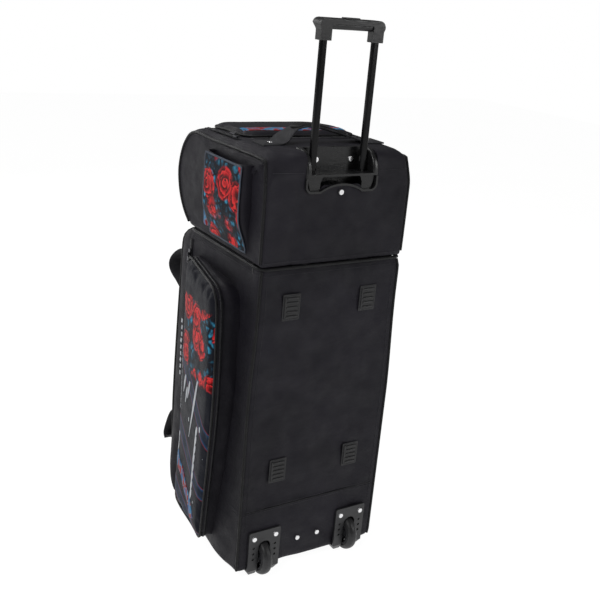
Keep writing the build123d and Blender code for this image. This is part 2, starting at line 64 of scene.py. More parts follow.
def hump(value, centre, width):
    """1 at the centre, falling smoothly to 0 at width away."""
    return smooth(1 - abs(value - centre) / width)


def cloth_noise(p, size, seed=0.0):
    return noise.noise(Vector((p[0] / size + seed, p[1] / size - seed, p[2] / size + 2 * seed)))


def folds(p, seed=0.0):
    """Soft diagonal folds, from -1 to 0."""
    bend = 0.9 * cloth_noise(p, 130, seed)
    ridge = abs(noise.noise(Vector((p[0] / 260 + p[1] / 260 + bend, seed, p[2] / 90 - p[0] / 120))))
    return -smooth(1 - 3.6 * ridge)


def rounded(points, radii, steps=6, closed=True):
    """The corner points joined by straight runs, with each corner eased off over its radius."""
    points = [Vector(p) for p in points]
    count = len(points)
    out = []
    for i, corner in enumerate(points):
        if not closed and i in (0, count - 1):
            out.append(corner)
            continue
        before, after = points[i - 1], points[(i + 1) % count]
        radius = radii[i] if hasattr(radii, "__len__") else radii
        cut = min(radius, 0.49 * (before - corner).length, 0.49 * (after - corner).length)
        a = corner + (before - corner).normalized() * cut
        b = corner + (after - corner).normalized() * cut
        for k in range(steps + 1):
            t = k / steps
            out.append(a * (1 - t) ** 2 + corner * 2 * t * (1 - t) + b * t * t)
    return out


def resample(path, step, closed=True):
    """The path's points at even spacing, as near to step as fits."""
    path = [Vector(p) for p in path]
    if closed:
        path = path + [path[0]]
    lengths = [0.0]
    for a, b in zip(path, path[1:]):
        lengths.append(lengths[-1] + (b - a).length)
    count = max(2, round(lengths[-1] / step))
    out, k = [], 0
    for i in range(count if closed else count + 1):
        at = lengths[-1] * i / count
        while k < len(path) - 2 and lengths[k + 1] < at:
            k += 1
        span = lengths[k + 1] - lengths[k]
        out.append(path[k].lerp(path[k + 1], (at - lengths[k]) / span if span else 0))
    return out


def course(path, step):
    """Even points along an open path."""
    return resample(path, step, closed=False)


def oblong(low, high, radius, step):
    """A rounded rectangle's outline, as (u, v) points from its two corners."""
    corners = [(low[0], low[1], 0), (high[0], low[1], 0), (high[0], high[1], 0), (low[0], high[1], 0)]
    return [(p.x, p.y) for p in resample(rounded(corners, radius), step)]


def spline(points, step=8):
    """A smooth curve through the points."""
    points = [Vector(p) for p in points]
    out = []
    for i in range(len(points) - 1):
        p = [points[min(max(i + k, 0), len(points) - 1)] for k in (-1, 0, 1, 2)]
        for k in range(12):
            t = k / 12
            out.append(
                0.5 * (2 * p[1] + (p[2] - p[0]) * t + (2 * p[0] - 5 * p[1] + 4 * p[2] - p[3]) * t * t
                       + (3 * p[1] - p[0] - 3 * p[2] + p[3]) * t ** 3)
            )
    return course(out + points[-1:], step)


def ring(radius, count=10):
    return [(radius * math.cos(k * math.tau / count), radius * math.sin(k * math.tau / count)) for k in range(count)]


def band(width, thickness):
    """The rounded section of a flat strap."""
    w, t = width / 2, thickness / 2
    corners = [(-w, -t, 0), (w, -t, 0), (w, t, 0), (-w, t, 0)]
    return [(p.x, p.y) for p in rounded(corners, 0.98 * t, 2)]


# mesh helpers


def link(name, data):
    """A new object around the data, in the scene."""
    obj = bpy.data.objects.new(name, data)
    bpy.context.scene.collection.objects.link(obj)
    return obj


def shade(bm, crease):
    """Smooth shading, except over edges sharper than the crease in degrees."""
    for face in bm.faces:
        face.smooth = True
    for edge in bm.edges:
        edge.smooth = len(edge.link_faces) != 2 or edge.calc_face_angle(0) < math.radians(crease)


def add_object(name, bm, crease=50):
    """Closes a bmesh into an object, smooth except over sharp edges."""
    bmesh.ops.recalc_face_normals(bm, faces=bm.faces)
    shade(bm, crease)
    mesh = bpy.data.meshes.new(name)
    bm.to_mesh(mesh)
    bm.free()
    return link(name, mesh)


def grid(name, rows, closed=False, caps=False, joined=False, crease=50):
    """A mesh of quads through rows of points; closed rows wrap round, joined rows end where they began."""
    bm = bmesh.new()
    lines = [[bm.verts.new(Vector(p) * MM) for p in row] for row in rows]
    if joined:
        lines.append(lines[0])
    count = len(rows[0])
    for a, b in zip(lines, lines[1:]):
        for i in range(count if closed else count - 1):
            k = (i + 1) % count
            bm.faces.new((a[i], a[k], b[k], b[i]))
    if caps:
        bm.faces.new(lines[0])
        bm.faces.new(lines[-1])
    bmesh.ops.remove_doubles(bm, verts=bm.verts, dist=1e-6)
    return add_object(name, bm, crease)


def bake(obj):
    """Applies the object's modifiers."""
    graph = bpy.context.evaluated_depsgraph_get()
    mesh = bpy.data.meshes.new_from_object(obj.evaluated_get(graph))
    obj.modifiers.clear()
    obj.data = mesh
    return obj


def modify(obj, kind, **settings):
    modifier = obj.modifiers.new(kind.lower(), kind)
    for key, value in settings.items():
        setattr(modifier, key, value)
    return bake(obj)


def sheet(name, rows, thickness, levels=1, **ends):
    """A softened sheet of cloth through rows of points, thickened inwards."""
    return thicken(soften(grid(name, rows, **ends), levels), thickness)


def thicken(obj, thickness):
    return modify(obj, "SOLIDIFY", thickness=thickness * MM, offset=-1)


def soften(obj, levels=1):
    return modify(obj, "SUBSURF", levels=levels, render_levels=levels)


def cut(obj, cutter):
    """Takes the cutter's volume out of the object."""
    modify(obj, "BOOLEAN", operation="DIFFERENCE", object=cutter, solver="EXACT")
    bpy.data.objects.remove(cutter)
    bm = bmesh.new()
    bm.from_mesh(obj.data)
    shade(bm, 50)
    bm.to_mesh(obj.data)
    bm.free()
    return obj


def prism(outline, low, high):
    """A cutter: a closed outline pushed from the low offset to the high one."""
    return grid("cutter", [[Vector(p) + Vector(low) for p in outline], [Vector(p) + Vector(high) for p in outline]],
                closed=True, caps=True)


def sweep(name, path, profile, up, closed=False, widths=None):
    """A section swept along a path. up is one direction, or one for each point; widths scale it sideways."""
    path = [Vector(p) for p in path]
    count = len(path)
    rows = []
    for i, p in enumerate(path):
        a = path[i - 1] if closed or i else p
        b = path[(i + 1) % count] if closed or i < count - 1 else p
        along = (b - a).normalized()
        above = Vector(up[i] if hasattr(up[0], "__len__") else up)
        side = along.cross(above).normalized()
        above = side.cross(along)
        wide = widths[i] if widths else 1.0
        rows.append([p + side * s * wide + above * h for s, h in profile])
    return grid(name, rows, closed=True, caps=not closed, joined=closed)


def beads(name, path, up, size, pitch, lift=0.0, closed=True):
    """Small rounded blocks along a path: stitches or zip teeth. size is (along, across, up)."""
    bm = bmesh.new()
    points = resample(path, pitch, closed)
    count = len(points)
    for i in range(count if closed else count - 1):
        p, q = points[i], points[(i + 1) % count]
        along = (q - p).normalized()
        above = Vector(up[min(i * len(up) // count, len(up) - 1)] if hasattr(up[0], "__len__") else up)
        side = along.cross(above).normalized()
        above = side.cross(along)
        centre = p + above * lift
        outline = ((-0.5, 0.6), (-0.3, 1.0), (0.3, 1.0), (0.5, 0.6))
        loops = []
        for a, grow in outline:
            loops.append([
                bm.verts.new((centre + along * a * size[0] + (side * s * size[1] + above * h * size[2]) * grow / 2) * MM)
                for s, h in ((-1, -0.4), (-0.5, 1), (0.5, 1), (1, -0.4))
            ])
        for a, b in zip(loops, loops[1:]):
            for j in range(4):
                bm.faces.new((a[j], a[(j + 1) % 4], b[(j + 1) % 4], b[j]))
        bm.faces.new(loops[0])
        bm.faces.new(loops[-1][::-1])
    return add_object(name, bm)


def pad(name, outline, place, thick, crown):
    """A padded panel: its outline in (u, v), set in space by place(u, v, height above its back face)."""
    centre = Vector((sum(p[0] for p in outline) / len(outline), sum(p[1] for p in outline) / len(outline)))

    def loop(scale, height):
        return [place(centre.x + (p[0] - centre.x) * scale, centre.y + (p[1] - centre.y) * scale, height) for p in outline]

    back = [(0.04, 0), (0.35, 0), (0.7, 0), (0.93, 0), (0.985, 0)]
    edge = [(1.0, thick / 2)]
    front = [(s, thick + crown * (1 - s ** 3)) for s in (0.985, 0.95, 0.88, 0.78, 0.66, 0.52, 0.36, 0.2, 0.04)]
    return grid(name, [loop(s, h) for s, h in back + edge + front], closed=True, caps=True, crease=75)


def draped(name, target, line, width, start, direction, lift=0.5, widths=None):
    """A flat strip laid on the target's surface along a line, each point dropped on it from start along direction."""
    tree = BVHTree.FromPolygons([v.co for v in target.data.vertices], [p.vertices for p in target.data.polygons])
    direction = Vector(direction)
    rows = []
    for i, p in enumerate(line):
        along = (line[min(i + 1, len(line) - 1)] - line[max(i - 1, 0)]).normalized()
        across = along.cross(direction).normalized() * width * (widths[i] if widths else 1.0)
        row = []
        count = max(4, round(width / 8))
        for k in range(count + 1):
            q = p + across * (k / count - 0.5)
            hit = tree.ray_cast((q + Vector(start)) * MM, direction)[0]
            row.append((hit / MM if hit else q) - direction * lift)
        rows.append(row)
    return thicken(grid(name, rows), 0.7)


def merge(name, *parts):
    """Joins finished meshes into one object."""
    bm = bmesh.new()
    for part in parts:
        bm.from_mesh(part.data)
        bpy.data.objects.remove(part)
    return add_object(name, bm)


def inflate(obj, cap, weight, voxel):
    """Swells a pad with Blender's cloth, with each point kept within its cap; weight(point) is 0 where it stays put."""
    modify(obj, "REMESH", mode="VOXEL", voxel_size=voxel * MM, use_smooth_shade=True)
    start = [v.co.copy() for v in obj.data.vertices]
    cloth = obj.modifiers.new("cloth", "CLOTH")
    cloth.settings.use_pressure = True
    cloth.settings.uniform_pressure_force = 4.0
    cloth.settings.effector_weights.gravity = 0
    cloth.settings.tension_stiffness = 12
    cloth.settings.compression_stiffness = 12
    cloth.settings.bending_stiffness = 0.3
    cloth.collision_settings.use_collision = False
    cloth.point_cache.frame_start, cloth.point_cache.frame_end = 1, 20
    for step in range(1, 21):
        bpy.context.scene.frame_set(step)
    bake(obj)
    bpy.context.scene.frame_set(1)
    for v, s in zip(obj.data.vertices, start):
        move = (v.co - s) * weight(s / MM)
        v.co = s + (move if move.length < cap * MM else move * (cap * MM / move.length))
    return soften(obj)


# materials


class Shader:
    """A principled material with its nodes; constants go straight on the shader's own sockets."""

    def __init__(self, name, **constants):
        self.material = bpy.data.materials.new(name)
        self.material.use_nodes = True
        self.tree = self.material.node_tree
        self.shader = self.tree.nodes["Principled BSDF"]
        for key, value in constants.items():
            self.shader.inputs[key.replace("_", " ")].default_value = value
        self.place = self.add("TexCoord").outputs["Object"]

    def add(self, kind, inputs=(), **settings):
        node = self.tree.nodes.new("ShaderNode" + kind)
        for key, value in settings.items():
            setattr(node, key, value)
        for key, value in dict(inputs).items():
            self.join(value, node.inputs[key])
        return node

    def join(self, value, socket):
        if isinstance(value, bpy.types.NodeSocket):
            self.tree.links.new(value, socket)
        else:
            socket.default_value = value

    def math(self, operation, a, b=0.0):
        return self.add("Math", {0: a, 1: b}, operation=operation).outputs[0]

    def noise(self, scale, detail=3.0, where=None):
        return self.add("TexNoise", {"Vector": where or self.place, "Scale": scale, "Detail": detail}).outputs[0]

    def ramp(self, value, *stops):
        """stops are (position, colour or grey)."""
        node = self.add("ValToRGB", {"Fac": value})
        points = node.color_ramp.elements
        while len(points) < len(stops):
            points.new(0.5)
        for point, (at, colour) in zip(points, stops):
            point.position = at
            point.color = (colour, colour, colour, 1) if isinstance(colour, float) else (*colour, 1)
        return node.outputs[0]

    def mottle(self, scale, detail, low, high):
        """Noise spread between two colours or greys."""
        return self.ramp(self.noise(scale, detail), (0.3, low), (0.7, high))

    def mix(self, factor, a, b):
        node = self.add("Mix", {0: factor}, data_type="RGBA")
        for value, socket in ((a, node.inputs[6]), (b, node.inputs[7])):
            self.join(value if isinstance(value, bpy.types.NodeSocket) else (*value, 1), socket)
        return node.outputs[2]

    def turned(self, angles, scale=(1, 1, 1)):
        angles = [math.radians(a) for a in angles]
        return self.add("Mapping", {"Vector": self.place, "Rotation": angles, "Scale": scale}).outputs[0]

    def wave(self, period, direction, where=None):
        """Even bands with a period in millimetres."""
        scale = math.tau / (20 * period * MM)
        return self.add("TexWave", {"Vector": where or self.place, "Scale": scale}, bands_direction=direction).outputs[1]

    def bump(self, height, strength, distance, under=None):
        node = self.add("Bump", {"Height": height, "Strength": strength, "Distance": distance * MM})
        if under:
            self.join(under, node.inputs["Normal"])
        return node.outputs[0]

    def set(self, colour=None, roughness=None, normal=None):
        for value, name in ((colour, "Base Color"), (roughness, "Roughness"), (normal, "Normal")):
            if value is not None:
                self.join(value, self.shader.inputs[name])
        return self.material


def weave(s, period, strength=0.5):
    """A plain weave with slubs, as a normal."""
    turned = s.turned((0, 0, 45))
    threads = s.math("ADD", s.wave(period, "X", turned), s.wave(period, "Z"))
    creases = s.bump(s.noise(14, 4.0, s.turned((0, 38, 20), (1, 1, 2.4))), 0.36, 6.0)
    slubs = s.bump(s.noise(120, 4.0), 0.3, 0.5, creases)
    return s.bump(threads, strength, 0.2, slubs)


def fabric(name, dark, light, rough=0.62, period=1.1, strength=0.5):
    s = Shader(name, Sheen_Weight=0.02, Sheen_Roughness=0.4, Specular_IOR_Level=0.19)
    blotch = s.noise(9, 4.0)
    colour = s.ramp(blotch, (0.3, dark), (0.72, light))
    roughness = s.mottle(35, 3.0, rough - 0.1, rough + 0.08)
    return s.set(colour, roughness, weave(s, period, strength))


def scaled(s, colour, by):
    return s.add("VectorMath", {0: colour, 1: (by, by, by)}, operation="MULTIPLY").outputs[0]


def floral(s, flat):
    """Loose red blooms and blue leaves on near-black, as a colour. flat drops the axis across the cloth."""
    plane = s.turned((0, 0, 0), flat)
    warp = s.add("TexNoise", {"Vector": plane, "Scale": 55.0, "Detail": 4.0})
    where = s.add("VectorMath", {0: plane, 1: scaled(s, warp.outputs["Color"], 0.012)}, operation="ADD").outputs[0]
    bloom = s.add("TexVoronoi", {"Vector": where, "Scale": 18.0, "Randomness": 0.75})
    local = s.add("VectorMath", {0: where, 1: bloom.outputs["Position"]}, operation="SUBTRACT").outputs[0]
    axes = s.add("SeparateXYZ", {0: local}).outputs
    turn = s.math("MULTIPLY", s.math("ARCTAN2", axes[2], s.math("ADD", axes[1], axes[0])), 1 / math.tau)
    spiral = s.math("ADD", s.math("MULTIPLY", bloom.outputs["Distance"], 4.5), turn)
    piece = s.add("TexVoronoi", {"Vector": where, "Scale": 70.0, "Smoothness": 0.15}, feature="SMOOTH_F1")
    offset = s.math("MULTIPLY", s.add("SeparateColor", {0: piece.outputs["Color"]}).outputs[0], 1.1)
    petal = s.math("FRACT", s.math("ADD", s.math("ADD", spiral, offset), s.math("MULTIPLY", warp.outputs[0], 1.6)))
    red = s.ramp(petal, (0.0, (0.02, 0.0, 0.001)), (0.22, (0.12, 0.002, 0.004)),
                 (0.55, (0.42, 0.008, 0.012)), (0.86, (0.72, 0.03, 0.03)), (0.97, (0.05, 0.001, 0.002)))
    leaf = s.add("TexVoronoi", {"Vector": where, "Scale": 58.0}, feature="DISTANCE_TO_EDGE")
    vein = s.math("MULTIPLY", s.ramp(leaf.outputs["Distance"], (0.03, 0.0), (0.22, 1.0)), s.noise(95, 2.0, plane))
    blue = s.ramp(vein, (0.1, (0.003, 0.005, 0.009)), (0.4, (0.008, 0.06, 0.11)), (0.62, (0.03, 0.26, 0.42)))
    kind = s.add("SeparateColor", {0: bloom.outputs["Color"]}).outputs[0]
    ground = s.mix(s.ramp(s.noise(24, 3.0, plane), (0.42, 0.0), (0.58, 1.0)), (0.005, 0.006, 0.011), blue)
    there = s.math("MULTIPLY", s.ramp(kind, (0.2, 0.0), (0.22, 1.0)),
                   s.ramp(bloom.outputs["Distance"], (0.52, 1.0), (0.6, 0.0)))
    return s.mix(there, ground, red)


def ribbons(s):
    """Slanting outlined bands and small pale shards on navy, as a colour."""
    slant = s.turned((34, 0, 0))
    wobble = s.add("TexWave", {"Vector": slant, "Scale": 2.6, "Distortion": 3.0, "Detail": 1.0}, bands_direction="Z").outputs[1]
    ground = s.ramp(wobble, (0.0, (0.005, 0.006, 0.011)), (0.8, (0.006, 0.007, 0.013)),
                    (0.84, (0.16, 0.012, 0.014)), (0.87, (0.012, 0.05, 0.12)), (0.97, (0.007, 0.012, 0.026)))
    cells = s.add("TexVoronoi", {"Vector": s.turned((30, 0, 0), (1, 2.2, 0.8)), "Scale": 38.0}, distance="MANHATTAN")
    pick = s.add("SeparateColor", {0: cells.outputs["Color"]}).outputs[1]
    fleck = s.math("MULTIPLY", s.ramp(cells.outputs["Distance"], (0.26, 1.0), (0.3, 0.0)),
                   s.ramp(pick, (0.84, 0.0), (0.86, 1.0)))
    return s.mix(fleck, ground, (0.6, 0.64, 0.68))


def cells(s):
    """Blue and red cells with pale outlines, as a colour."""
    where = {"Vector": s.turned((40, 0, 0), (1, 1.6, 0.8)), "Scale": 75.0}
    edge = s.add("TexVoronoi", where, feature="DISTANCE_TO_EDGE").outputs["Distance"]
    pick = s.add("SeparateColor", {0: s.add("TexVoronoi", where).outputs["Color"]}).outputs[0]
    fill = s.ramp(pick, (0.0, (0.02, 0.13, 0.28)), (0.4, (0.04, 0.22, 0.4)),
                  (0.45, (0.3, 0.02, 0.02)), (0.8, (0.2, 0.015, 0.02)), (0.85, (0.03, 0.1, 0.26)))
    return s.mix(s.ramp(edge, (0.03, 1.0), (0.07, 0.0)), fill, (0.2, 0.2, 0.26))


def zoned(s, low, high):
    """Ribbons below the low height, plain navy above the high one, and blooms between them."""
    height = s.add("SeparateXYZ", {0: s.place}).outputs[2]
    wander = s.math("ADD", height, s.math("MULTIPLY", s.noise(26, 2.0), 0.05))
    blooms = s.mix(s.add("MapRange", {0: wander, 1: low + 0.02, 2: low + 0.03}).outputs[0], ribbons(s), floral(s, (0, 1, 1)))
    return s.mix(s.add("MapRange", {0: wander, 1: high + 0.02, 2: high + 0.028}).outputs[0], blooms, (0.007, 0.0075, 0.012))


def printed(name, pattern):
    """Printed polyester with a colour pattern."""
    s = Shader(name, Sheen_Weight=0.0, Specular_IOR_Level=0.08)
    return s.set(pattern(s), s.mottle(40, 3.0, 0.45, 0.58), weave(s, 0.9, 0.3))


def moulded(name, dark, light, rough, grain=0.4, coat=0.0):
    """Moulded plastic with a fine spark-eroded grain and faint scuffs."""
    s = Shader(name, Coat_Weight=coat, Coat_Roughness=0.15, Specular_IOR_Level=0.4)
    colour = s.ramp(s.noise(24, 5.0), (0.35, dark), (0.7, light))
    scuffs = s.add("TexNoise", {"Vector": s.turned((0, 25, 0), (1, 1, 7)), "Scale": 60.0, "Detail": 5.0}).outputs[0]
    roughness = s.ramp(scuffs, (0.35, rough - 0.08), (0.7, rough + 0.12))
    return s.set(colour, roughness, s.bump(s.noise(900, 2.0), grain, 0.02))


def enamel(name, dark, light, rough):
    """Smooth black paint with a clear coat."""
    s = Shader(name, Coat_Weight=0.05, Coat_Roughness=0.08, Specular_IOR_Level=0.14)
    colour = s.mottle(12, 2.0, dark, light)
    return s.set(colour, s.mottle(7, 2.0, rough - 0.04, rough + 0.05), s.bump(s.noise(90, 1.0), 0.05, 0.05))


def metal(name, colour, rough, brushed=(1, 1, 12)):
    s = Shader(name, Metallic=1.0)
    lines = s.add("TexNoise", {"Vector": s.turned((0, 0, 0), brushed), "Scale": 260.0, "Detail": 3.0}).outputs[0]
    dark = tuple(0.82 * c for c in colour)
    tint = s.mottle(45, 4.0, dark, colour)
    return s.set(tint, s.ramp(lines, (0.3, rough - 0.07), (0.7, rough + 0.1)), s.bump(lines, 0.12, 0.03))


def webbing(name, dark, light, direction, turned=(0, 0, 0), period=2.6):
    """Woven strap with ribs along its length."""
    s = Shader(name, Sheen_Weight=0.04, Specular_IOR_Level=0.3)
    where = s.turned(turned)
    ribs = s.wave(period, direction, where)
    picks = s.wave(1.1, "Z" if direction != "Z" else "X", where)
    colour = s.mix(ribs, dark, light)
    return s.set(colour, s.mottle(50, 3.0, 0.6, 0.8), s.bump(picks, 0.3, 0.2, s.bump(ribs, 0.7, 0.5)))


BLACK = fabric("shell_weave", (0.0054, 0.0048, 0.0078), (0.0108, 0.0096, 0.0146))
HEAVY = fabric("base_weave", (0.008, 0.0085, 0.011), (0.015, 0.016, 0.02), rough=0.7, period=1.7, strength=0.7)
LINING = fabric("lining_weave", (0.02, 0.021, 0.024), (0.035, 0.036, 0.04), rough=0.75, period=0.8)
BINDING = fabric("binding_weave", (0.035, 0.045, 0.065), (0.06, 0.075, 0.1), rough=0.55, period=0.8)
PIPE = fabric("piping_weave", (0.0025, 0.0025, 0.003), (0.006, 0.006, 0.007), rough=0.45, period=0.9)
PRINT = printed("bloom_print", lambda s: floral(s, (0, 1, 1)))
PRINT_FRONT = printed("bloom_print_front", lambda s: floral(s, (1, 0, 1)))
RIBBON = printed("ribbon_cells", cells)
PALE = fabric("pale_ink", (0.42, 0.44, 0.47), (0.55, 0.57, 0.6))
PRINT_ZONED = printed("zoned_print", lambda s: zoned(s, 0.395, 0.548))
PLASTIC = moulded("bezel_plastic", (0.005, 0.005, 0.0055), (0.009, 0.009, 0.0095), 0.33)
HOUSING = moulded("housing_plastic", (0.015, 0.015, 0.0165), (0.026, 0.026, 0.028), 0.4, 0.6)
GRIP = moulded("grip_plastic_finish", (0.005, 0.005, 0.0055), (0.009, 0.009, 0.0095), 0.36, 0.2)
ENAMEL = enamel("tube_enamel_finish", (0.003, 0.003, 0.0034), (0.005, 0.005, 0.0055), 0.22)
RUBBER = moulded("tyre_rubber_finish", (0.010, 0.010, 0.011), (0.02, 0.02, 0.022), 0.45, 0.3)
HUB = moulded("hub_plastic_finish", (0.03, 0.03, 0.033), (0.05, 0.05, 0.055), 0.35, 0.3)
PATCH = moulded("patch_rubber", (0.006, 0.006, 0.007), (0.011, 0.011, 0.012), 0.5, 0.3)
STEEL = metal("axle_steel", (0.62, 0.63, 0.65), 0.25)
NICKEL = metal("rivet_nickel", (0.86, 0.86, 0.87), 0.2, (3, 3, 3))
GUNMETAL = metal("zip_gunmetal", (0.09, 0.09, 0.1), 0.35, (3, 3, 3))
STRAP = webbing("strap_webbing", (0.007, 0.007, 0.009), (0.022, 0.022, 0.026), "Y")
STRAP_TALL = webbing("loop_webbing", (0.007, 0.007, 0.009), (0.022, 0.022, 0.026), "X")
TAPE = fabric("zip_tape", (0.008, 0.008, 0.01), (0.014, 0.014, 0.017), rough=0.7, period=0.8)
THREAD = fabric("stitch_thread", (0.02, 0.02, 0.024), (0.045, 0.045, 0.052), rough=0.5, period=0.5)
TEETH = moulded("zip_coil", (0.012, 0.012, 0.014), (0.024, 0.024, 0.027), 0.35)
FOAM = fabric("foam_skin", (0.03, 0.03, 0.033), (0.05, 0.05, 0.055), rough=0.9, period=2.2, strength=0.3)


SLOTS = {
    "black_fabric": (BLACK, HEAVY, LINING, TAPE), "piping": (BINDING, PIPE, THREAD),
    "printed_fabric": (PRINT, PRINT_FRONT, PRINT_ZONED, RIBBON, PALE),
    "moulded_plastic": (TEETH, PATCH), "webbing": (STRAP, STRAP_TALL), "foam": (FOAM,),
}


def dress(obj, body, material, *stands_for, slot=None):
    """Gives a finished piece its material and its body, and hides the parts it stands for; the slot it works out is not
    stored.
    """
    obj.data.materials.clear()
    obj.data.materials.append(material)
    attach(obj, body)
    slot = slot or next(name for name, group in SLOTS.items() if material in group)
    if stands_for:
        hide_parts(*stands_for)
    return obj


def stitch(name, path, up, body, lift=0.3, closed=True, pitch=4.2):
    return dress(beads(name, path, up, (3.0, 0.8, 0.6), pitch, lift, closed), body, THREAD)


def zipper(name, path, up, body, closed=True, width=15.0):
    """A zip: its tape, and a row of coil teeth standing on it."""
    dress(sweep(name + "_tape", path, band(width, 1.0), up, closed), body, TAPE)
    dress(beads(name + "_coil", path, up, (1.7, 4.6, 1.6), 2.6, 1.0, closed), body, TEETH)


# lower case


FRONT_HALF = 157.2


def lower_half(z):
    low = min(1.0, max(0.0, 28.0 - z) / 10.0)
    waist = smooth((z - 636) / 20)
    return 156 + 8 * smooth((600 - z) / 240) - 9 * (1 - math.sqrt(1 - low * low)) - 3.0 * waist


def lower_back(z):
    low = min(1.0, max(0.0, 30.0 - z) / 12.0)
    return 180.0 - 7 * (1 - math.sqrt(1 - low * low)) - 3.0 * smooth((z - 640) / 16)


def wall_path(half, back, z, front=-112.0, corner=9.0):
    """Points round both sides and the back at one height, as many at every height. The sides draw in
    at the front edge, to leave room for the sliders and the swinging door."""
    side = []
    for y in [front + (back - corner - front) * k / 26 for k in range(26)]:
        side.append(Vector((min(half, FRONT_HALF + max(0.0, half - FRONT_HALF) * smooth((y + 80) / 30)), y, z)))
    bend = [k * math.pi / 8 for k in range(5)]
    side += [Vector((half - corner + corner * math.cos(a), back - corner + corner * math.sin(a), z)) for a in bend]
    middle = [Vector(((half - corner) * (1 - k / 15), back, z)) for k in range(1, 30)]
    return side + middle + [Vector((-p.x, p.y, z)) for p in reversed(side)]


def wells(obj):
    """Cuts the two wheel wells out of the back and the base."""
    for side in (1, -1):
        mouth = [(side * 104 + x, y, 0) for x, y in ((-19, 113), (19, 113), (19, 205), (-19, 205))]
        obj = cut(obj, prism(mouth[::side], (0, 0, -5), (0, 0, 96)))
    return obj


def lower_shell():
    heights = [18, 19, 21, 25, 30, 36] + [44 + i * (655 - 44) / 52 for i in range(53)]
    rows = []
    for z in heights:
        half, back = lower_half(z), lower_back(z)
        row = []
        for p in wall_path(half, back, z):
            q = p.copy()
            seam = hump(z, 155, 7)
            if abs(p.y - back) < 2:
                inside = smooth((half - 18 - abs(p.x)) / 40)
                q.y += inside * (4.2 * folds(p, 3.1) + 1.6 * cloth_noise(p, 48)) - 0.3 - 1.6 * seam
            else:
                outward = math.copysign(1.0, p.x)
                soft = smooth((p.y + 78) / 40) * smooth((back - 12 - p.y) / 30)
                bulge = 9 * hump(z, 60, 140) * hump(p.y, 100, 100)
                q.x += outward * (soft * (bulge + 3.0 * folds(p, 7.7) + 1.6 * cloth_noise(p, 60, 4)) - 1.2 * seam)
            row.append(q)
        rows.append(row)
    return wells(sheet("lower_shell", rows, 3.0))


dress(lower_shell(), "case", BLACK, "back_panel_lower", "lower_side_panel_left", "lower_side_panel_right")

base_loop = oblong((-154.5, -110), (154.5, 172), 9, 9)
BASE_MIDDLE = 31
base_rows = []
for scale, height in ((0.03, 19.5), (0.5, 19.2), (0.9, 18.6), (0.97, 18.2), (1.0, 19.5),
                      (1.0, 24.0), (0.97, 26.0), (0.5, 26.0), (0.03, 26.0)):
    base_rows.append([Vector((x * scale, BASE_MIDDLE + (y - BASE_MIDDLE) * scale, height)) for x, y in base_loop])
dress(wells(grid("base_floor", base_rows, closed=True, caps=True)), "case", HEAVY, "base_panel")


def around(half_at, back_at, z, out, front=-108):
    """The path round the back and both sides at one height, set out from the shell."""
    return course(wall_path(half_at(z) + out, back_at(z) + out, z, front), 8)


def outward(path):
    """The way out of the case at each point of a path round it."""
    return [(p - Vector((0, 30, p.z))).normalized() for p in path]


dress(sweep("base_seam_bead", around(lower_half, lower_back, 155, -0.9), ring(1.1, 6), (0, 0, 1)), "case", PIPE)
for height in (159.5, 150.5):
    line = around(lower_half, lower_back, height, 0.2)
    stitch(f"base_seam_{height:.0f}", line, outward(line), "case", closed=False)

for side, s in SIDES:
    edge = [Vector((s * (lower_half(z) - 2.2), lower_back(z) - 2.2, z)) for z in [24 + i * 12.6 for i in range(51)]]
    dress(sweep(f"rear_piping_{side}", edge, ring(2.9), (0, 1, 0)), "case", PIPE, f"corner_piping_{side}")
    inner = [Vector((s * (lower_half(z) - 15), lower_back(z) - 0.2, z)) for z in [112 + i * 12 for i in range(44)]]
    stitch(f"rear_topstitch_{side}", inner, (0, 1, 0), "case", closed=False)

# upper case

UPPER_PROFILE = [
    (180, 662), (180.5, 700), (180.5, 760), (180, 820), (179, 852), (170, 865), (140, 868), (60, 868), (0, 867.5), (-60, 866.5),
    (-106, 862), (-138, 848), (-166, 818), (-181, 778), (-180, 745), (-168, 712), (-146, 684), (-118, 663),
]


UPPER_MIDDLE = Vector((0, 10, 765))
UPPER_HALF = 157.0


def upper_loop():
    """The side view's outline as (point, inward direction, edge radius)."""
    profile = spline([(0, y, z) for y, z in UPPER_PROFILE], 9)
    loop = profile + course([profile[-1], profile[0]], 9)[1:-1]
    out = []
    for i, p in enumerate(loop):
        along = (loop[(i + 1) % len(loop)] - loop[i - 1]).normalized()
        inward = Vector((0, along.z, -along.y))
        if (p - UPPER_MIDDLE).dot(inward) > 0:
            inward.negate()
        out.append((p, inward, 8 + 24 * smooth((p.z - 800) / 60) * smooth((p.y + 150) / 110)))
    return out


def droop(q):
    """The rear top corner, which is close beside the bezel and round further out."""
    centre = Vector((q.x, 142, 829))
    out = q - centre
    if out.y <= 0 or out.z <= 0 or out.length < 38:
        return q
    return q.lerp(centre + out.normalized() * 38, smooth((abs(q.x) - 84) / 45))


def shoulder(p, inward, radius, turn):
    """A point part of the way, by its angle, round the edge between the loop and the side."""
    q = p + inward * radius * (1 - math.cos(turn))
    return droop(Vector((UPPER_HALF - radius + radius * math.sin(turn), q.y, q.z)))


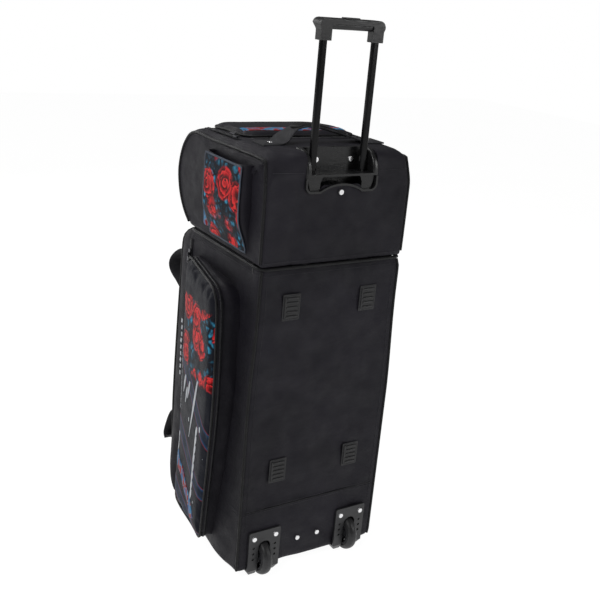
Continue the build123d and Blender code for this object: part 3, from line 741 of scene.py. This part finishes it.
def upper_shell():
    loop = upper_loop()

    def station(scale, turn):
        if turn is None:
            return [((UPPER_HALF - r) * scale, p) for p, n, r in loop]
        return [(shoulder(p, n, r, turn).x, shoulder(p, n, r, turn)) for p, n, r in loop]

    def surface(x, p):
        q = Vector((x, p.y, p.z))
        if p.y > 176 and p.z < 822:
            seam = hump(p.z, 832, 6) if abs(x) > 78 else 0
            calm = smooth((150 - abs(x)) / 20) * (1 - hump(p.z, 832, 50) * (abs(x) < 95))
            q.y += calm * (3.0 * folds(q, 1.3) + 1.1 * cloth_noise(q, 50, 2)) - 1.2 * seam - 0.3
        elif p.z > 800:
            q.z += 2.0 * cloth_noise(q, 70, 5) * smooth((160 - p.y) / 40)
        elif p.y < -100:
            q.y += 3.0 * cloth_noise(q, 60, 6)
        return droop(q)

    stations = [(1, math.radians(a)) for a in (90, 70, 45, 20)] + [(k / 14, None) for k in range(14, -1, -1)]
    right_half = [[surface(x, p) for x, p in station(s, t)] for s, t in stations]
    left_half = [[surface(-x, p) for x, p in station(s, t)] for s, t in reversed(stations[:-1])]
    rows = right_half + left_half

    def side_cap(row, sign):
        out = []
        for scale in (0.02, 0.25, 0.5, 0.72, 0.88, 0.96):
            ring_points = []
            for p in row:
                middle = UPPER_MIDDLE
                q = Vector((p.x, middle.y + (p.y - middle.y) * scale, middle.z + (p.z - middle.z) * scale))
                q.x += sign * (2.5 * cloth_noise(q, 70, 9) + 3.0 * (1 - scale) + 1.6 * folds(q, 5.5)) * smooth((1 - scale) * 6)
                ring_points.append(q)
            out.append(ring_points)
        return out

    rows = side_cap(rows[0], 1) + rows + side_cap(rows[-1], -1)[::-1]
    shell = sheet("upper_shell", rows, 3.0, closed=True, caps=True)
    mouth = [(76, 900), (76, 795), (47, 795), (41, 808.5)]
    hole = rounded([(-x, 0, z) for x, z in mouth] + [(x, 0, z) for x, z in reversed(mouth)], 9)
    cut(shell, prism(hole, (0, 139, 0), (0, 200, 0)))
    hatch = rounded([(-118, -110, 0), (118, -110, 0), (118, 29, 0), (-118, 29, 0)], 26)
    return cut(shell, prism(hatch, (0, 0, 835), (0, 0, 900)))


case_top = upper_shell()
dress(case_top, "case", BLACK, "back_panel_upper", "upper_side_panel_left", "upper_side_panel_right",
      "top_panel", "top_gusset_left", "top_gusset_right", "upper_front_panel")

for side, s in SIDES:
    edge = [shoulder(p, n, r, math.radians(58)) for p, n, r in upper_loop() if p.z > 663]
    edge = course([Vector((s * (p.x + 0.8), p.y, p.z)) for p in edge], 7)
    dress(sweep(f"upper_piping_{side}", edge, ring(2.9), (s, 0, 0)), "case", PIPE)

front_band = course([(-112, 0, 752), (112, 0, 752)], 7)
dress(draped("upper_front_print", case_top, front_band, 86, (0, -400, 0), (0, 1, 0), lift=1.0), "case", PRINT_FRONT)
for height in (797, 707):
    trim = course([(-114, 0, height), (114, 0, height)], 7)
    dress(draped(f"upper_front_binding_{height}", case_top, trim, 6, (0, -400, 0), (0, 1, 0), lift=1.8), "case", BINDING)

waist = resample(rounded([(155, -112, 658.3), (155, 178, 658.3), (-155, 178, 658.3), (-155, -112, 658.3)], 15), 8)
dress(sweep("waist_piping", waist, ring(3.3), (0, 0, 1), closed=True), "case", PIPE, "waist_welt")
for height, out in ((646, 0.2), (671, 0.6)):
    half, back = (lower_half(height), lower_back(height)) if height < 650 else (156.6, 180.2)
    half, back = half + out, back + out
    corners = [(half, -104, height), (half, back, height), (-half, back, height), (-half, -104, height)]
    path = course(rounded(corners, 12, 6, closed=False), 8)
    stitch(f"waist_stitch_{height}", path, outward(path), "case", closed=False)
for side, s in SIDES:
    seam = [(s * x, 180.6, 832 + 0.02 * (x - 80)) for x in range(84, 153, 8)]
    stitch(f"bezel_seam_{side}", seam, (0, 1, 0), "case", closed=False)

# top lid


def lid_height(y):
    """The crown of the case's top, falling away to the front."""
    return 867.8 - 4.2 * smooth((-20 - y) / 100)


lid_outline = oblong((-123, -118), (123, 34), (36, 36, 20, 20), 8)
lid = pad("lid_panel", lid_outline, lambda u, v, h: Vector((u, v, lid_height(v) + 0.6 + h)), 5.0, 2.5)
inflate(lid, 4.0, lambda p: smooth((p.z - lid_height(p.y) - 1.5) / 3), voxel=3.5)
dress(lid, "top_lid", BLACK, "top_lid")
lid_edge = [Vector((u * 0.995, 1 + (v - 1) * 0.99, lid_height(v) + 2.4)) for u, v in lid_outline]
dress(sweep("lid_binding", lid_edge, ring(2.4), (0, 0, 1), closed=True), "top_lid", PIPE)
zip_corners = [(-134, -104, 0), (-134, 44, 0), (134, 44, 0), (134, -104, 0)]
zip_path = course(rounded(zip_corners, 20, 6, closed=False), 6)
for p in zip_path:
    p.z = lid_height(p.y) - 2.4 * smooth((abs(p.x) - 112) / 24) * smooth((p.y + 150) / 110)
zipper("lid_zip", zip_path, (0, 0, 1), "case", closed=False, width=13)
stripe = [Vector((x, 8 - 0.0006 * x * x, 0)) for x in range(-114, 115, 6)]
dress(draped("lid_stripe", lid, stripe, 26, (0, 0, 1200), (0, 0, -1), lift=0.6), "top_lid", RIBBON)

# carry strap

strap = spline([
    (132, 95, 869.6), (112, 95, 869.8), (95, 95, 870.4), (86, 94, 874), (74, 92, 884), (56, 90, 895), (34, 88, 900),
    (8, 88, 898),
    (-24, 89, 891), (-56, 91, 882), (-82, 93, 874), (-96, 95, 870.4), (-112, 95, 869.8), (-132, 95, 869.6),
], 4)
strap_widths = [1 - 0.38 * smooth((84 - abs(p.x)) / 30) for p in strap]
dress(sweep("carry_strap_web", strap, band(46, 3.2), (0, 0, 1), widths=strap_widths), "case", STRAP, "carry_strap")
strap_core = [p + Vector((0, 0, 0.6)) for p in strap if abs(p.x) < 62]
core_widths = [smooth((64 - abs(p.x)) / 14) * 0.9 + 0.1 for p in strap_core]
dress(sweep("carry_strap_wrap", strap_core, band(27, 8.0), (0, 0, 1), widths=core_widths), "case", PIPE, slot="webbing")
for side, s in SIDES:
    box = [(s * 96, 75.5, 872), (s * 128, 75.5, 872), (s * 128, 114.5, 872), (s * 96, 114.5, 872)]
    stitch(f"strap_box_{side}", resample(rounded(box, 1), 4), (0, 0, 1), "case", lift=0.1, pitch=3.6)
    cross = [Vector((s * 98, 78, 872)), Vector((s * 126, 112, 872))]
    stitch(f"strap_cross_{side}", cross, (0, 0, 1), "case", lift=0.1, closed=False, pitch=3.6)

# side pockets

POCKET = [(0, -84, 50), (0, 82, 50), (0, 126, 390), (0, 112, 600), (0, -82, 612)]
POCKET_MIDDLE = Vector((0, 22, 330))
POCKET_RADII = [14, 14, 120, 46, 20]


def rim_x(y, z):
    """How far out the flap lies: furthest at the rear, and a little baggy at the foot."""
    return 168 + 34 * (y + 82) / 208 + 7 * smooth((230 - z) / 170) * smooth((50 - y) / 110)


def pocket_loop(step=9, grow=0.0):
    loop = resample(rounded(POCKET, POCKET_RADII, 8), step)
    return [p + (p - POCKET_MIDDLE).normalized() * grow for p in loop]


def hinge_strip(name, rows):
    """The strip of fabric that a panel swings on, between the case and the panel's body."""
    strip = thicken(grid(name, rows), 1.2)
    strip.data.materials.append(BLACK)
    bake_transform(strip)
    return strip


def side_pocket(side, s):
    body = f"side_flap_{side}"
    rows = []
    loop = pocket_loop()
    middle = POCKET_MIDDLE
    for t in [k / 7 for k in range(8)] + [1.01]:
        row = []
        for p in loop:
            away = (p - middle).normalized()
            lip = -5.0 if t > 1 else 0.0
            x = 150 + (rim_x(p.y, p.z) - 150) * min(t, 1.0)
            arch = math.sin(math.pi * min(t, 1.0))
            crumple = (2.6 * cloth_noise((x * 2.2, p.y, p.z), 34, 3) + 2.5 * hump(t, 0.35, 0.4)
                       - 6 * hump(t, 0.8, 0.25) * hump(p.z, 560, 150))
            q = p + away * (crumple * arch + lip)
            row.append(Vector((s * x, max(q.y, -80.3), q.z)))
        rows.append(row)
    dress(sheet(f"side_pocket_wall_{side}", rows, 1.8, closed=True), "case", BLACK, f"side_gusset_{side}")

    outline = [(p.y, p.z) for p in pocket_loop(10, 1.5)]

    def place(y, z, h):
        tilt = Vector((208, -34, 0)).normalized()
        return Vector((s * (rim_x(y, z) + 0.7 + h * tilt.x), y + h * tilt.y, z))

    face = pad(f"side_flap_panel_{side}", outline, place, 6.5, 4.0)
    inflate(face, 5.0, lambda p: smooth((abs(p.x) - rim_x(p.y, p.z) - 2) / 4), voxel=4.5)
    dress(face, body, PRINT_ZONED, body)
    ribbon = spline([(0, -66, 178), (0, -48, 158), (0, -22, 150), (0, 2, 126), (0, 24, 112), (0, 44, 78)], 5)
    dress(draped(f"flap_ribbon_{side}", face, ribbon, 24, (s * 260, 0, 0), (-s, 0, 0)), body, RIBBON)
    marks = [(52, 396, 150), (-30, 372, 44), (-14, 352, 40), (2, 372, 44), (-62, 226, 20), (-62, 212, 20), (-62, 198, 20)]
    marks += [(62 - 3 * k, 300 - 22 * k, 30) for k in range(8)] + [(-66, 420 - 13 * k, 12) for k in range(11)]
    ink = []
    for y, z, length in marks:
        streak = course([(0, y, z), (0, y - 0.28 * length, z - 0.96 * length)], 5)
        taper = [0.25 + 0.75 * hump(i / (len(streak) - 1), 0.35, 0.66) for i in range(len(streak))]
        ink.append(draped("mark", face, streak, 9, (s * 260, 0, 0), (-s, 0, 0), widths=taper))
    dress(merge(f"flap_streaks_{side}", *ink), body, PALE)
    inside = [(p.y, p.z) for p in pocket_loop(10, -4)]
    dress(pad(f"flap_lining_{side}", inside, lambda y, z, h: place(y, z, 0.4 - h), 1.0, 0.0), body, LINING)
    rear = [p for p in pocket_loop(7) if p.y > 84 and p.z < 604]
    rows = [[Vector((s * (rim_x(p.y, p.z) + out), p.y, p.z)) + (p - middle).normalized() * 1.4 for p in rear]
            for out in (-9, -6, -3, 0, 3)]
    hinge_strip(f"flap_hinge_{side}", rows)
    edge = [place(p.y, p.z, 3.2) for p in pocket_loop(8, 0.2)]
    dress(sweep(f"flap_piping_{side}", edge, ring(2.7), (1, 0, 0), closed=True), body, PIPE)
    coil_run = pocket_loop(6)
    teeth = [Vector((s * (rim_x(p.y, p.z) - 5.0), p.y, p.z)) + (p - middle).normalized() * 0.6 for p in coil_run]
    ups = [(p - middle).normalized() for p in coil_run]
    zipper(f"pocket_zip_{side}", teeth, ups, "case", width=8)


for side, s in SIDES:
    side_pocket(side, s)

# front door

DOOR = [(-156, 0, 24), (156, 0, 24), (156, 0, 652), (-156, 0, 652)]


DOOR_PROFILE = spline([(0, y, z) for y, z in (
    (-151, 660), (-160, 610), (-167, 510), (-173, 410), (-178, 300), (-179, 220), (-174, 130), (-164, 70), (-148, 40),
    (-128, 14),
)], 6)


def door_y(x, z):
    """The padded front's surface, which is fullest low down and draws in at the foot."""
    k = min(range(len(DOOR_PROFILE)), key=lambda i: abs(DOOR_PROFILE[i].z - z))
    k = min(max(k, 1), len(DOOR_PROFILE) - 1)
    a, b = DOOR_PROFILE[k - 1], DOOR_PROFILE[k]
    return a.y + (b.y - a.y) * (z - a.z) / (b.z - a.z) - 4 * hump(z, 320, 300) * smooth((150 - abs(x)) / 90)


def front_door():
    """The tray-shaped door: its wall, its padded front and the small printed dashes down its left edge."""
    loop = resample(rounded(DOOR, 26), 11)
    rows = []
    for t in [k / 6 for k in range(7)] + [1.02]:
        row = []
        for p in loop:
            foot = smooth((90 - p.z) / 70)
            away = Vector((p.x / 156, 0, (p.z - 338) / 314))
            away = away.normalized() if away.length else away
            y = -113.2 + (door_y(p.x, p.z) + 3 + 113.2) * min(t, 1.0)
            inset = -16 if t > 1 else -3.5 * min(t, 1.0) ** 4
            puff = 2.4 * math.sin(math.pi * min(t, 1.0)) * (1 + cloth_noise((p.x, y * 2, p.z), 30, 8)) - 1.5
            baggy = 11 * smooth((230 - p.z) / 150) * hump(t, 0.6, 0.7)
            row.append(Vector((p.x, y, p.z)) + away * (inset + puff)
                       + Vector((math.copysign(baggy, p.x) * smooth(abs(p.x) / 120), 0, 4 * foot * t)))
        rows.append(row)
    wall = dress(sheet("door_wall", rows, 2.4, closed=True), "front_door", BLACK, "door_gusset")
    ink = []
    for k in range(9):
        z = 452 - 15 * k
        dash = course([(0, -136, z), (0, -139 + 2 * (k % 3), z - 9)], 3)
        ink.append(draped("dash", wall, dash, 6 - k % 3, (260, 0, 0), (-1, 0, 0)))
    dress(merge("door_dashes", *ink), "front_door", PALE)
    outline = oblong((-151, 32), (151, 647), 28, 10)
    face = pad("door_panel", outline, lambda x, z, h: Vector((x, door_y(x, z) + 9 - h, z)), 9.0, 2.0)
    inflate(face, 4.0, lambda p: smooth((door_y(p.x, p.z) + 6 - p.y) / 5), voxel=5.0)
    dress(face, "front_door", BLACK, "door_face")
    edge = [Vector((x, door_y(x, z) + 3.0, z)) for x, z in outline]
    dress(sweep("door_piping", edge, ring(3.0), (0, 1, 0), closed=True), "front_door", PIPE)


front_door()

run = [Vector((FRONT_HALF, -106, z)) for z in range(30, 646, 8)]
zipper("door_zip", run, (1, 0, 0), "case", closed=False, width=12)
strip = [[Vector((-158.6, y, z)) for z in range(30, 646, 8)] for y in (-122, -118, -115, -112, -109, -106, -102)]
hinge_strip("door_hinge_fabric", strip[::-1])


def front_pocket(name, low, high, half, depth, material):
    """A patch pocket on the door, standing proud with a bound mouth."""
    outline = oblong((-half, low), (half, high), 22, 9)
    face = pad(name, outline, lambda x, z, h: Vector((x, door_y(x, z) - 1.2 - h, z)), depth, 2.4)
    dress(soften(face), "front_door", material)
    edge = [Vector((x, door_y(x, z) - 1.6 - depth / 2, z)) for x, z in outline]
    dress(sweep(name + "_binding", edge, ring(2.2), (0, 1, 0), closed=True), "front_door", BINDING)


front_pocket("front_print_panel", 330, 500, 96, 4.0, PRINT_FRONT)
front_pocket("front_lower_pocket", 64, 300, 96, 5.0, BLACK)

for name, low, high, peak, reach in (("upper", 508, 590, 556, -222), ("lower", 128, 204, 146, -220)):
    base = door_y(125, (low + high) / 2) - 1
    half_out = (base + reach) / 2
    path = spline([(126, base + 2, low), (128, base - 10, low + 4), (132, half_out, (low + peak) / 2 - 6),
                   (134, reach, peak - 16), (134, reach + 1, peak + 4), (130, half_out, high - 6), (126, base + 2, high)], 4)
    dress(sweep(f"door_loop_{name}_web", path, band(36, 2.6), (0, -1, 0.2)), "front_door", STRAP_TALL, f"door_loop_{name}")

# upper side pockets


def upper_pocket(side, s):
    low, high = 673, 838

    def reach(y, z):
        return 158 + 17 * smooth((z - low) / 70) + 3.0 * hump(z, 770, 120) + 1.5 * cloth_noise((0, y, z), 40, 3)

    rows = []
    for k in range(15):
        z = low + (high - low) * k / 14
        sag = 4 * hump(k, 14, 3)
        path = [(154, -21, z), (reach(-21, z) - 1, -22, z), (reach(130, z), 131, z), (154, 131, z)]
        line = course(rounded(path, 7, 4, closed=False), 7)
        rows.append([Vector((s * p.x, p.y, p.z - sag * math.sin(math.pi * (p.y + 22) / 153))) for p in line])
    width = min(len(r) for r in rows)
    rows = [resample(r, sum((b - a).length for a, b in zip(r, r[1:])) / (width - 1), closed=False)[:width] for r in rows]
    dress(sheet(f"upper_pocket_wall_{side}", rows, 1.6), "case", BLACK, f"upper_pocket_{side}")
    outline = oblong((-18, low + 4), (126, high - 4), 2, 6)
    face = pad(f"upper_pocket_print_{side}", outline, lambda y, z, h: Vector((s * (reach(y, z) + 0.4 + h), y, z)), 1.6, 2.0)
    dress(soften(face), "case", PRINT)
    edge = [Vector((s * (reach(y, z) + 1.4), y, z)) for y, z in outline]
    dress(sweep(f"upper_pocket_binding_{side}", edge, band(4, 2.0), (s, 0, 0), closed=True), "case", BINDING)


def upper_end_strip(side, s):
    """The printed end of the upper pocket's front bellows, which stands proud of the gap behind it."""
    rows = []
    for k in range(15):
        z = 684 + 128 * k / 14
        swell = 9 * hump(k, 7, 9)
        path = [(156, -58 - 0.3 * swell, z), (157 + 0.9 * swell, -48, z), (158 + swell, -39, z), (156, -32, z)]
        rows.append([Vector((s * x, y, z)) for x, y, z in path])
    dress(sheet(f"upper_end_strip_{side}", rows, 1.2, 2), "case", RIBBON)


for side, s in SIDES:
    upper_pocket(side, s)
    upper_end_strip(side, s)

# patches and inner pad


def grip_patch(name, x, z):
    """A rubber patch: a thin square-cornered plate with a spine and five rounded bars."""
    def place(u, v, h):
        return Vector((u, 179.6 + h, v))

    plate = oblong((x - 19, z - 26), (x + 19, z + 26), 2.5, 3)
    parts = [pad("plate", plate, place, 1.5, 0.2)]
    spine = course([(x + 13, 181.2, z - 21), (x + 13, 181.2, z + 21)], 3)
    parts.append(sweep("spine", spine, band(5, 3.0), (0, 1, 0)))
    for k in range(5):
        bar = course([(x + 11, 181.4, z - 18 + 9 * k), (x - 14, 181.4, z - 18 + 9 * k)], 3)
        parts.append(sweep("bar", bar, ring(2.1, 8), (0, 1, 0), widths=[1.0] * (len(bar) - 1) + [0.6]))
    dress(merge(name, *parts), "case", PATCH, "grip_patches")


for side, s in SIDES:
    for level, z in (("low", 239), ("high", 582)):
        grip_patch(f"grip_patch_{side}_{level}", s * 86, z)
        box = [(s * 86 + a * 16.5, 181.1, z + b * 23.5) for a, b in ((-1, -1), (1, -1), (1, 1), (-1, 1))]
        stitch(f"patch_stitch_{side}_{level}", resample(rounded(box, 4), 4), (0, 1, 0), "case", pitch=3.6)

low_corner, high_corner = [v / MM for v in (Vector(c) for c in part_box("base_pad"))]
pad_outline = oblong(low_corner, high_corner, 14, 9)
inner_pad = pad("inner_base_pad", pad_outline, lambda x, y, h: Vector((x, y, low_corner.z + h)),
                high_corner.z - low_corner.z - 2, 2.0)
dress(soften(inner_pad), "case", FOAM, "base_pad")

# the CAD nodes that stay

FINISHES = {
    "handle_bezel": PLASTIC, "tube_bracket": PLASTIC, "back_board": PLASTIC, "divider": LINING, "grip_patches": PATCH,
    "rivets": NICKEL, "grip": GRIP, "release_button": GRIP, "inner_tube": ENAMEL, "outer_tube": ENAMEL,
    "wheel_housing": HOUSING, "axle": STEEL, "tyre": RUBBER, "wheel_hub": HUB, "wheel_bearings": STEEL,
    "front_foot": HOUSING, "slider": GUNMETAL, "tab": GUNMETAL,
}
for name, node in NODES.items():
    if node.hide_render:
        continue
    finish = next((m for key, m in FINISHES.items() if key in name), BLACK)
    if not node.material_slots:
        node.data.materials.append(finish)
    for place in node.material_slots:
        place.material = finish
    edge_round = node.modifiers.new("edge_round", "BEVEL")
    edge_round.width, edge_round.segments, edge_round.limit_method = 0.5 * MM, 2, "ANGLE"
    edge_round.angle_limit, edge_round.harden_normals = math.radians(40), True

# studio

floor_points = [(x, y, -0.001) for x, y in ((-7, -7), (7, -7), (7, 7), (-7, 7))]
floor_mesh = bpy.data.meshes.new("studio_floor")
floor_mesh.from_pydata(floor_points, [], [(0, 1, 2, 3)])
floor = link("studio_floor", floor_mesh)
pale = Shader("studio_paper", Emission_Color=(1, 1, 1, 1), Emission_Strength=0.96)
floor.data.materials.append(pale.set(pale.mottle(2, 2.0, 0.13, 0.15), pale.mottle(9, 2.0, 0.8, 0.9)))

world = bpy.context.scene.world or bpy.data.worlds.new("studio")
bpy.context.scene.world = world
world.use_nodes = True
sky = world.node_tree
seen = sky.nodes.new("ShaderNodeLightPath").outputs["Is Camera Ray"]
strength = sky.nodes.new("ShaderNodeMapRange")
strength.inputs[3].default_value, strength.inputs[4].default_value = 0.13, 1.0
sky.links.new(seen, strength.inputs[0])
sky.links.new(strength.outputs[0], sky.nodes["Background"].inputs[1])
sky.nodes["Background"].inputs[0].default_value = (1, 1, 1, 1)


def softbox(name, place, target, size, power):
    data = bpy.data.lights.new(name, "AREA")
    data.shape, data.size, data.size_y, data.energy = "RECTANGLE", size[0], size[1], power
    lamp = link(name, data)
    lamp.location = place
    lamp.rotation_euler = (Vector(target) - Vector(place)).to_track_quat("-Z", "Y").to_euler()


softbox("key_softbox", (2.0, 1.0, 2.3), (0, 0, 0.55), (0.8, 1.2), 26)
softbox("back_softbox", (-1.8, 2.2, 1.7), (0, 0, 0.5), (0.6, 1.6), 22)
softbox("top_softbox", (0.2, -0.4, 2.9), (0, 0, 0.8), (1.4, 1.4), 22)
softbox("front_softbox", (0.8, -2.6, 1.6), (0, 0, 0.5), (1.2, 1.8), 22)

yaw, pitch, roll = (math.radians(a) for a in (-122.99978, -19.46121, 5.04163))
look = Vector((math.cos(pitch) * math.cos(yaw), math.cos(pitch) * math.sin(yaw), math.sin(pitch)))
level = look.cross(Vector((0, 0, 1))).normalized()
rise = level.cross(look)
right = level * math.cos(roll) + rise * math.sin(roll)
above = rise * math.cos(roll) - level * math.sin(roll)
camera_data = bpy.data.cameras.new("photo_camera")
camera_data.lens, camera_data.sensor_width = 52.98, 36.0
camera = link("photo_camera", camera_data)
turn = Matrix((right, above, -look)).transposed().to_4x4()
camera.matrix_world = Matrix.Translation((0.90545, 1.46978, 1.13758)) @ turn
bpy.context.scene.camera = camera
bpy.context.scene.view_settings.view_transform = "Standard"
